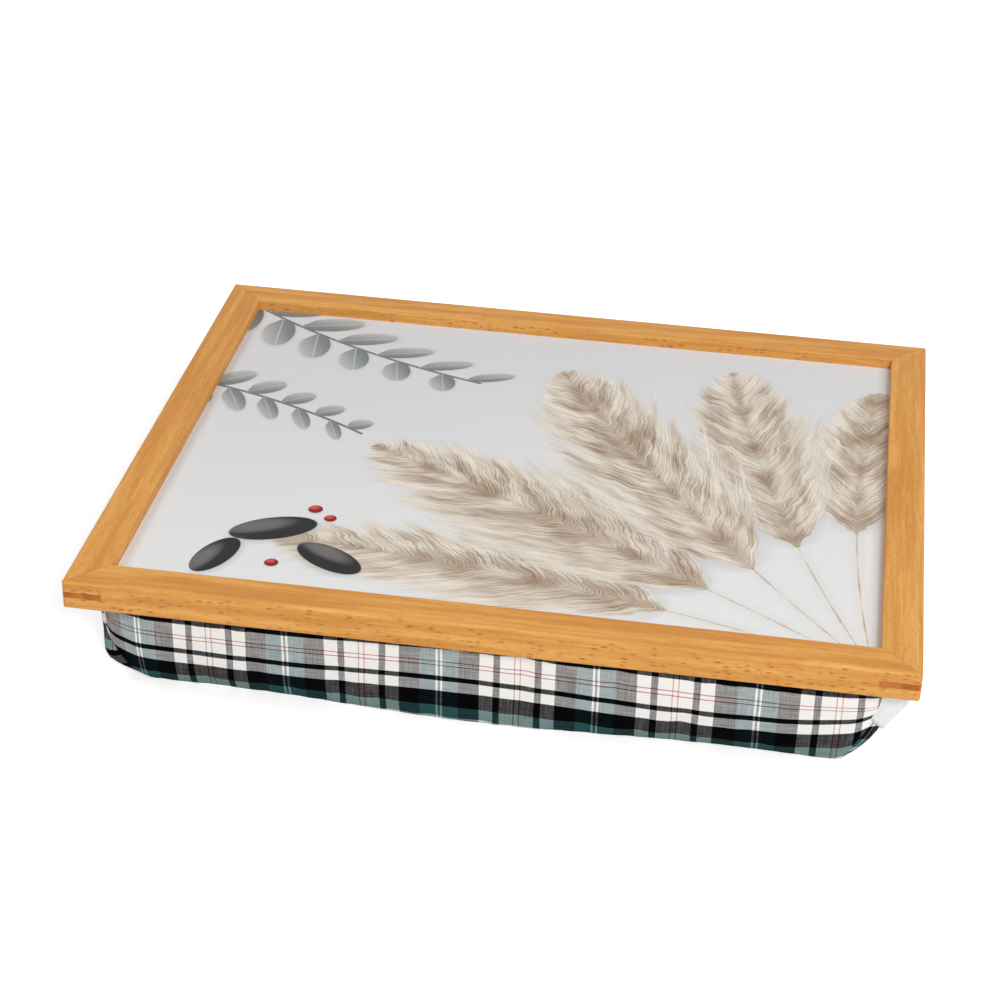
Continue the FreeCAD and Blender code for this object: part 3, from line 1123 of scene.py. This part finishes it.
# %% Seed pods and berries
Pod = namedtuple("Pod", "place angle half_long half_wide")
PODS = (
    Pod((-128.0, -98.0), 24.0, 25.0, 11.5),
    Pod((-92.0, -122.0), -31.0, 22.0, 10.5),
    Pod((-152.0, -130.0), 68.0, 20.0, 9.5),
)
BERRIES = (
    Pod((-110.0, -74.0), 0.0, 4.2, 4.2),
    Pod((-100.0, -82.0), 0.0, 3.6, 3.6),
    Pod((-121.0, -132.0), 0.0, 3.9, 3.9),
)


def pod(finish, x, y, shape):
    """A rounded seed pod: how well it covers, how much light it catches, and its soft shadow."""
    turn = math.radians(shape.angle)
    right, up = x - shape.place[0], y - shape.place[1]
    run = (right * math.cos(turn) + up * math.sin(turn)) / shape.half_long
    cross = (up * math.cos(turn) - right * math.sin(turn)) / shape.half_wide
    inside = 1 - run * run - cross * cross
    lit_run, lit_cross = run + 0.3, cross - 0.4
    gleam = finish.step(1 - lit_run * lit_run * 1.6 - lit_cross * lit_cross * 3, -0.6, 1.0)
    fall = cross + 0.25
    shade = finish.step(1.25 - run * run - fall * fall, -0.3, 0.9) * 0.4
    return finish.step(inside, 0.0, 0.12), gleam, shade


print("pods and berries:", len(PODS), len(BERRIES))

# %% Laminate finish
MOTIF_SHADOW = (0.32, 0.31, 0.30)


def print_ground(finish, x, y):
    """The pale ground of the print, a little darker towards one corner, with a faint mottle."""
    cloud = finish.noise(finish.vector(x * 0.006, y * 0.006, 4.0))
    mottle = finish.noise(finish.vector(x * 0.5, y * 0.5, 8.0), 3, 0.6)
    fall = finish.step(x * 0.35 - y + cloud * 120, -160.0, 260.0)
    colour = finish.mix(fall, srgb(221, 221, 223), srgb(236, 236, 236))
    return finish.mix(finish.step(mottle, 0.3, 0.7) * 0.12, colour, srgb(206, 206, 205))


def lay(finish, ground, motif, dark, light):
    """One motif laid over what is already printed."""
    cover, tone, shade = motif
    ground = finish.mix(shade, ground, MOTIF_SHADOW)
    return finish.mix(cover, ground, finish.mix(tone, dark, light))


def printed_laminate():
    """The print, motif over motif, under a satin skin."""
    finish = Finish("printed_laminate")
    x, y, z = finish.position()
    colour = print_ground(finish, x, y)
    for shape in SPRIGS:
        colour = lay(finish, colour, sprig(finish, x, y, shape), srgb(122, 126, 126), srgb(196, 199, 197))
    for shape in PLUMES:
        motif = plume(finish, x, y, BUNCH_ROOT, shape)
        colour = lay(finish, colour, motif, srgb(150, 122, 96), srgb(243, 235, 221))
    for shape in PODS:
        colour = lay(finish, colour, pod(finish, x, y, shape), srgb(34, 33, 34), srgb(112, 109, 107))
    for shape in BERRIES:
        colour = lay(finish, colour, pod(finish, x, y, shape), srgb(134, 30, 28), srgb(212, 92, 80))
    skin = finish.noise(finish.vector(x * 0.9, y * 0.9, z))
    return finish.shade({
        "Base Color": colour,
        "Roughness": 0.5 + skin * 0.08,
        "Normal": finish.bump(skin * 0.012, 1.0, 0.5),
        "Specular IOR Level": 0.15,
    })


wear(nodes["printed_laminate"], printed_laminate())
print("laminate finished")


# %% [markdown]
# ## Board and underside
# Below the laminate lies a board of pressed fibres, then a brown backing paper, and steel pins hold them in.
# They are seen when the tray is lifted. Their forms are in the frame already, and flat colours would look
# like plastic, so each has a finish of noise that is drawn out as its own material is.

# %% Board, paper and pin finishes
LAID_PITCH = 3.0


def fibreboard():
    """Pressed brown fibres with dark specks."""
    finish = Finish("fibreboard")
    x, y, z = finish.position()
    fibres = finish.noise(finish.vector(x * 1.2, y * 1.2, z * 4.0), 4, 0.7)
    specks = finish.step(finish.noise(finish.vector(x * 2.2, y * 2.2, z * 2.2), 1, 0.5), 0.68, 0.78)
    colour = finish.mix(finish.step(fibres, 0.35, 0.7), srgb(141, 106, 70), srgb(181, 145, 103))
    return finish.shade({
        "Base Color": finish.mix(specks * 0.6, colour, srgb(92, 64, 40)),
        "Roughness": 0.8 + fibres * 0.12,
        "Normal": finish.bump(fibres * 0.15, 1.0, 0.6),
    })


def backing_paper():
    """Brown paper with uneven pulp and faint laid lines."""
    finish = Finish("backing_paper")
    x, y, z = finish.position()
    waver = finish.noise(finish.vector(x * 0.05, y * 0.05, z)) * 4
    laid = finish.sine(y * (2 * math.pi / LAID_PITCH) + waver)
    pulp = finish.noise(finish.vector(x * 0.35, y * 0.9, z), 4, 0.7)
    colour = finish.mix(finish.step(pulp, 0.3, 0.72), srgb(158, 120, 82), srgb(192, 156, 114))
    return finish.shade({
        "Base Color": finish.mix((laid + 1) * 0.07, colour, srgb(132, 98, 64)),
        "Roughness": 0.76 + pulp * 0.14,
        "Normal": finish.bump(pulp * 0.08 + laid * 0.02, 1.0, 0.5),
    })


def pin_steel():
    """Bright steel with faint drawn lines."""
    finish = Finish("pin_steel")
    x, y, z = finish.position()
    draw_lines = finish.noise(finish.vector(x * 3, y * 3, z * 0.3), 3, 0.6)
    colour = finish.mix(finish.step(draw_lines, 0.3, 0.7), srgb(150, 150, 150), srgb(196, 196, 194))
    return finish.shade({"Base Color": colour, "Metallic": 1.0, "Roughness": 0.3 + draw_lines * 0.2})


wear(nodes["board_core"], fibreboard())
wear(nodes["backing_sheet"], backing_paper())
wear(nodes["panel_pins"], pin_steel())
print("underside finished")

# %% [markdown]
# ## The studio
# A pale floor with a soft shadow, a small light in front, one high on each side, and an even white surround.
# The camera stands where the reference view was taken from:
# its place and angles were solved from the frame's edges.

# %% Camera
CAMERA_PLACE = Vector((0.14664, -1.17897, 0.67239))
CAMERA_AZIMUTH = 7.977
CAMERA_ELEVATION = 30.647
CAMERA_ROLL = 1.773
CAMERA_LENS = 86.6
CAMERA_SENSOR = 36.0
CAMERA_REACH = 50.0

lens = bpy.data.cameras.new("studio_camera")
lens.sensor_fit = "HORIZONTAL"
lens.sensor_width = CAMERA_SENSOR
lens.lens = CAMERA_LENS
lens.clip_end = CAMERA_REACH
camera = bpy.data.objects.new("studio_camera", lens)
scene.collection.objects.link(camera)
tilt = Matrix.Rotation(math.radians(90 - CAMERA_ELEVATION), 4, "X")
turn = Matrix.Rotation(math.radians(CAMERA_AZIMUTH), 4, "Z")
roll = Matrix.Rotation(math.radians(CAMERA_ROLL), 4, "Z")
stand = Matrix.Translation(CAMERA_PLACE + Vector((0, 0, RAIL_TOP * MM)))
camera.matrix_world = stand @ turn @ tilt @ roll
scene.camera = camera
print("camera at", [round(value, 3) for value in camera.matrix_world.translation])


# %% Lights
def softbox(name, place, target, size, power):
    """A square lamp that faces a point."""
    lamp = bpy.data.lights.new(name, "AREA")
    lamp.size = size
    lamp.energy = power
    holder = bpy.data.objects.new(name, lamp)
    scene.collection.objects.link(holder)
    aim = (Vector(target) - Vector(place)).to_track_quat("-Z", "Y")
    holder.matrix_world = Matrix.Translation(place) @ aim.to_matrix().to_4x4()


MIDDLE = (0.0, 0.0, 0.05)
softbox("front_softbox", (0.7, -2.0, 1.5), MIDDLE, 0.5, 34.0)
softbox("right_softbox", (1.6, -0.2, 1.7), MIDDLE, 1.0, 16.0)
softbox("left_softbox", (-1.5, 0.2, 1.7), MIDDLE, 1.0, 14.0)
print("lamps:", len(bpy.data.lights))

# %% White surround
SURROUND_LIGHT = 0.2


def looked_at(finish):
    """1 where the camera sees a place, straight, in a mirror or through glass, and 0 for other light."""
    path = finish.node("ShaderNodeLightPath").socket.node
    straight, mirrored, through = [
        Signal(finish, path.outputs[f"Is {kind} Ray"]) for kind in ("Camera", "Glossy", "Transmission")
    ]
    return finish.most(finish.most(straight, mirrored), through)


def studio_surround():
    """White to the camera, and a plain even light on the object."""
    finish = Finish("studio_surround", bpy.data.worlds)
    strength = looked_at(finish) * (1 - SURROUND_LIGHT) + SURROUND_LIGHT
    light = finish.node("ShaderNodeBackground", None, {"Color": (1, 1, 1, 1), "Strength": strength})
    finish.node("ShaderNodeOutputWorld", None, {"Surface": light})
    scene.world = finish.made


studio_surround()
print("surround ready")

# %% Floor
FLOOR_HALF = 6.0
FLOOR_DROP = 0.0004
FLOOR_PAPER = (0.92, 0.92, 0.92, 1)
FLOOR_LIFT = 0.5
SHADOW_REACH = 900.0
WHITE_FROM = 1700.0


def studio_floor():
    """A pale floor that takes the shadow near the object, and further off is as white as the surround."""
    form = bmesh.new()
    bmesh.ops.create_grid(form, x_segments=1, y_segments=1, size=FLOOR_HALF)
    floor = piece_from(form, "studio_floor")
    floor.location.z = -FLOOR_DROP
    finish = Finish("floor_paper")
    seen = looked_at(finish)
    surface = finish.node("ShaderNodeBsdfDiffuse", None, {"Color": FLOOR_PAPER})
    glow = finish.node("ShaderNodeEmission", None, {"Strength": seen * FLOOR_LIFT})
    near = finish.node("ShaderNodeAddShader", None, {0: surface, 1: glow})
    far = finish.node("ShaderNodeEmission", None, {"Strength": seen})
    x, y, _ = finish.position()
    distance = (x * x + y * y) ** 0.5
    fade = finish.step(distance, SHADOW_REACH, WHITE_FROM)
    whole = finish.node("ShaderNodeMixShader", None, {0: fade, 1: near, 2: far})
    finish.node("ShaderNodeOutputMaterial", None, {"Surface": whole})
    wear(floor, finish.made)


studio_floor()
print("floor ready")
